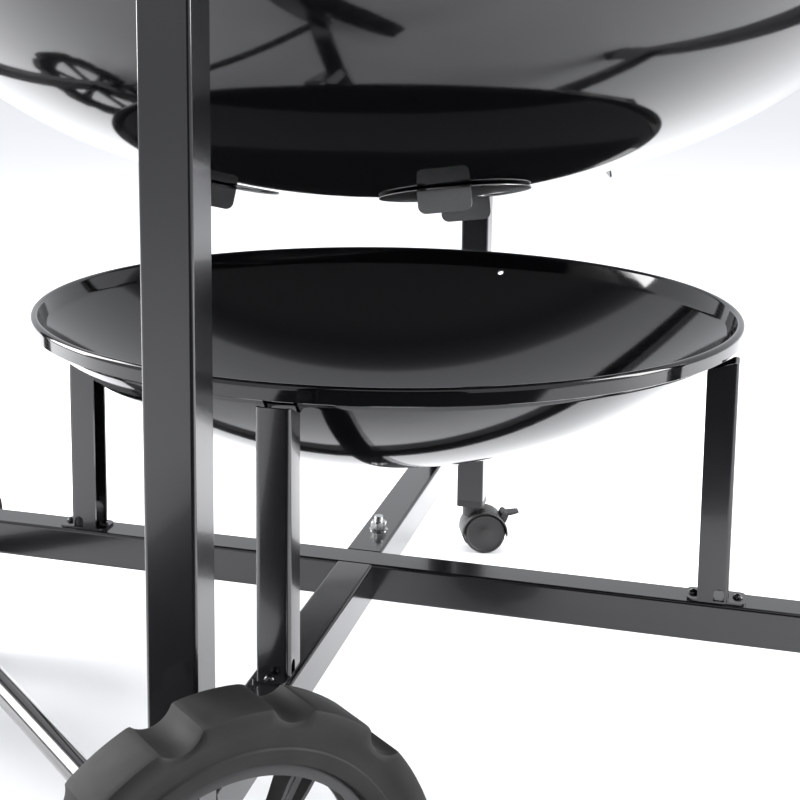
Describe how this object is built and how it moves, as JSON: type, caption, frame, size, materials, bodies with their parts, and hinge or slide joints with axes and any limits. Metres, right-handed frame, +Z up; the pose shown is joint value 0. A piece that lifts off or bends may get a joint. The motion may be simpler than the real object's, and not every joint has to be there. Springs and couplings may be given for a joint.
{
  "type": "kettle charcoal grill",
  "caption": "Large kettle charcoal grill on a square-tube cart with road wheels, braked casters and a loose ash bowl.",
  "frame": {"origin": "on the floor, under the middle of the whole outline; the kettle's upright axis stands 43.4 mm to the right of it and 60.2 mm behind", "axes": "+Z up, -Y towards the front leg, +X towards the right leg"},
  "size_m": [1.166, 1.157, 1.1449],
  "materials": {
    "black_powder_coat": "gloss powder coat",
    "dark_steel": "satin",
    "black_enamel": "high gloss vitreous enamel",
    "zinc_steel": "bright zinc plating",
    "black_plastic": "moulded satin",
    "black_tyre": "matt",
    "damper_metal": "brushed",
    "plated_wire": "bright plated",
    "charcoal_steel": "dull plated",
    "black_grip": "glass-filled nylon",
    "bezel_steel": "polished",
    "dial_white": "printed",
    "needle_red": "painted",
    "gauge_glass": "clear"
  },
  "bodies": {
    "cart": {"cross_beam": "black_powder_coat", "front_beam": "black_powder_coat", "rear_beam": "black_powder_coat", "beam_stub": "dark_steel", "beam_bolt": "zinc_steel", "beam_nut": "zinc_steel", "leg_front": "black_powder_coat", "leg_rear": "black_powder_coat", "leg_left": "black_powder_coat", "leg_right": "black_powder_coat", "leg_caps": "black_plastic", "leg_plugs": "black_plastic", "axle_sleeve": "black_powder_coat", "axle": "zinc_steel", "axle_nuts": "zinc_steel", "ash_post_front": "black_powder_coat", "ash_post_rear": "black_powder_coat", "ash_post_left": "black_powder_coat", "ash_post_right": "black_powder_coat", "ash_post_bolts": "black_powder_coat", "kettle_bowl": "black_enamel", "kettle_brackets": "black_powder_coat", "bracket_bolts": "zinc_steel", "damper_rivets": "zinc_steel", "grate_ledges": "plated_wire", "charcoal_grate": "charcoal_steel", "cooking_grate": "plated_wire"},
    "lid": {"lid_shell": "black_enamel", "lid_handle_grip": "black_grip", "lid_handle_posts": "black_grip", "lid_handle_screws": "zinc_steel", "lid_damper_rivet": "zinc_steel", "thermometer_case": "bezel_steel", "thermometer_dial": "dial_white", "thermometer_glass": "gauge_glass"},
    "lid_vent": {"lid_damper": "damper_metal", "lid_damper_knob": "black_grip"},
    "needle": {"thermometer_needle": "needle_red"},
    "front_vent": {"damper_front": "damper_metal"},
    "right_vent": {"damper_right": "damper_metal"},
    "rear_vent": {"damper_rear": "damper_metal"},
    "left_vent": {"damper_left": "damper_metal"},
    "ash_bowl": {"ash_bowl": "black_enamel"},
    "front_flap": {"grate_flap_front": "plated_wire"},
    "rear_flap": {"grate_flap_rear": "plated_wire"},
    "front_wheel": {"front_wheel_hub": "black_plastic", "front_tyre": "black_tyre"},
    "left_wheel": {"left_wheel_hub": "black_plastic", "left_tyre": "black_tyre"},
    "rear_caster": {"rear_caster_body": "black_plastic"},
    "rear_caster_roller": {"rear_caster_wheels": "black_tyre"},
    "rear_brake": {"rear_brake_lever": "black_plastic"},
    "right_caster": {"right_caster_body": "black_plastic"},
    "right_caster_roller": {"right_caster_wheels": "black_tyre"},
    "right_brake": {"right_brake_lever": "black_plastic"}
  },
  "joints": [
    {"name": "lid_lift", "type": "slide", "parent": "cart", "child": "lid", "axis": [0, 0, 1], "range_m": [0, 0.3]},
    {"name": "lid_damper_turn", "type": "hinge", "parent": "lid", "child": "lid_vent", "pos_m": [0.31441, 0.06016, 1.02444], "axis": [0.4061, 0, 0.9138], "range_deg": [0, 60]},
    {"name": "thermometer_turn", "type": "hinge", "parent": "lid", "child": "needle", "pos_m": [0.04344, -0.28243, 0.98499], "axis": [0, -0.562, 0.8272], "range_deg": [-270, 0]},
    {"name": "front_damper_turn", "type": "hinge", "parent": "cart", "child": "front_vent", "pos_m": [0.13234, -0.06681, 0.52088], "axis": [0.1257, -0.1795, -0.9757], "range_deg": [0, 60]},
    {"name": "right_damper_turn", "type": "hinge", "parent": "cart", "child": "right_vent", "pos_m": [0.17041, 0.14906, 0.52088], "axis": [0.1795, 0.1257, -0.9757], "range_deg": [0, 60]},
    {"name": "rear_damper_turn", "type": "hinge", "parent": "cart", "child": "rear_vent", "pos_m": [-0.04546, 0.18713, 0.52088], "axis": [-0.1257, 0.1795, -0.9757], "range_deg": [0, 60]},
    {"name": "left_damper_turn", "type": "hinge", "parent": "cart", "child": "left_vent", "pos_m": [-0.08353, -0.02874, 0.52088], "axis": [-0.1795, -0.1257, -0.9757], "range_deg": [0, 60]},
    {"name": "ash_bowl_lift", "type": "slide", "parent": "cart", "child": "ash_bowl", "axis": [0, 0, 1], "range_m": [0, 0.12]},
    {"name": "front_flap_fold", "type": "hinge", "parent": "cart", "child": "front_flap", "pos_m": [0.04344, -0.20184, 0.752], "axis": [-1, 0, 0], "range_deg": [0, 85]},
    {"name": "rear_flap_fold", "type": "hinge", "parent": "cart", "child": "rear_flap", "pos_m": [0.04344, 0.32216, 0.752], "axis": [1, 0, 0], "range_deg": [0, 85]},
    {"name": "front_wheel_spin", "type": "hinge", "parent": "cart", "child": "front_wheel", "pos_m": [0.04344, -0.42684, 0.14], "axis": [-0.7562, 0.6543, 0], "continuous": true},
    {"name": "left_wheel_spin", "type": "hinge", "parent": "cart", "child": "left_wheel", "pos_m": [-0.4385, -0.00984, 0.14], "axis": [-0.7562, 0.6543, 0], "continuous": true},
    {"name": "rear_caster_swivel", "type": "hinge", "parent": "cart", "child": "rear_caster", "pos_m": [0.04344, 0.54716, 0.05], "axis": [0, 0, 1], "continuous": true},
    {"name": "rear_caster_roll", "type": "hinge", "parent": "rear_caster", "child": "rear_caster_roller", "pos_m": [0.05771, 0.5518, 0.025], "axis": [-0.309, 0.9511, 0], "continuous": true},
    {"name": "rear_brake_press", "type": "hinge", "parent": "rear_caster", "child": "rear_brake", "pos_m": [0.08148, 0.55952, 0.046], "axis": [-0.309, 0.9511, 0], "range_deg": [0, 18]},
    {"name": "right_caster_swivel", "type": "hinge", "parent": "cart", "child": "right_caster", "pos_m": [0.52538, -0.00984, 0.05], "axis": [0, 0, 1], "continuous": true},
    {"name": "right_caster_roll", "type": "hinge", "parent": "right_caster", "child": "right_caster_roller", "pos_m": [0.53965, -0.00521, 0.025], "axis": [-0.309, 0.9511, 0], "continuous": true},
    {"name": "right_brake_press", "type": "hinge", "parent": "right_caster", "child": "right_brake", "pos_m": [0.56342, 0.00252, 0.046], "axis": [-0.309, 0.9511, 0], "range_deg": [0, 18]}
  ]
}
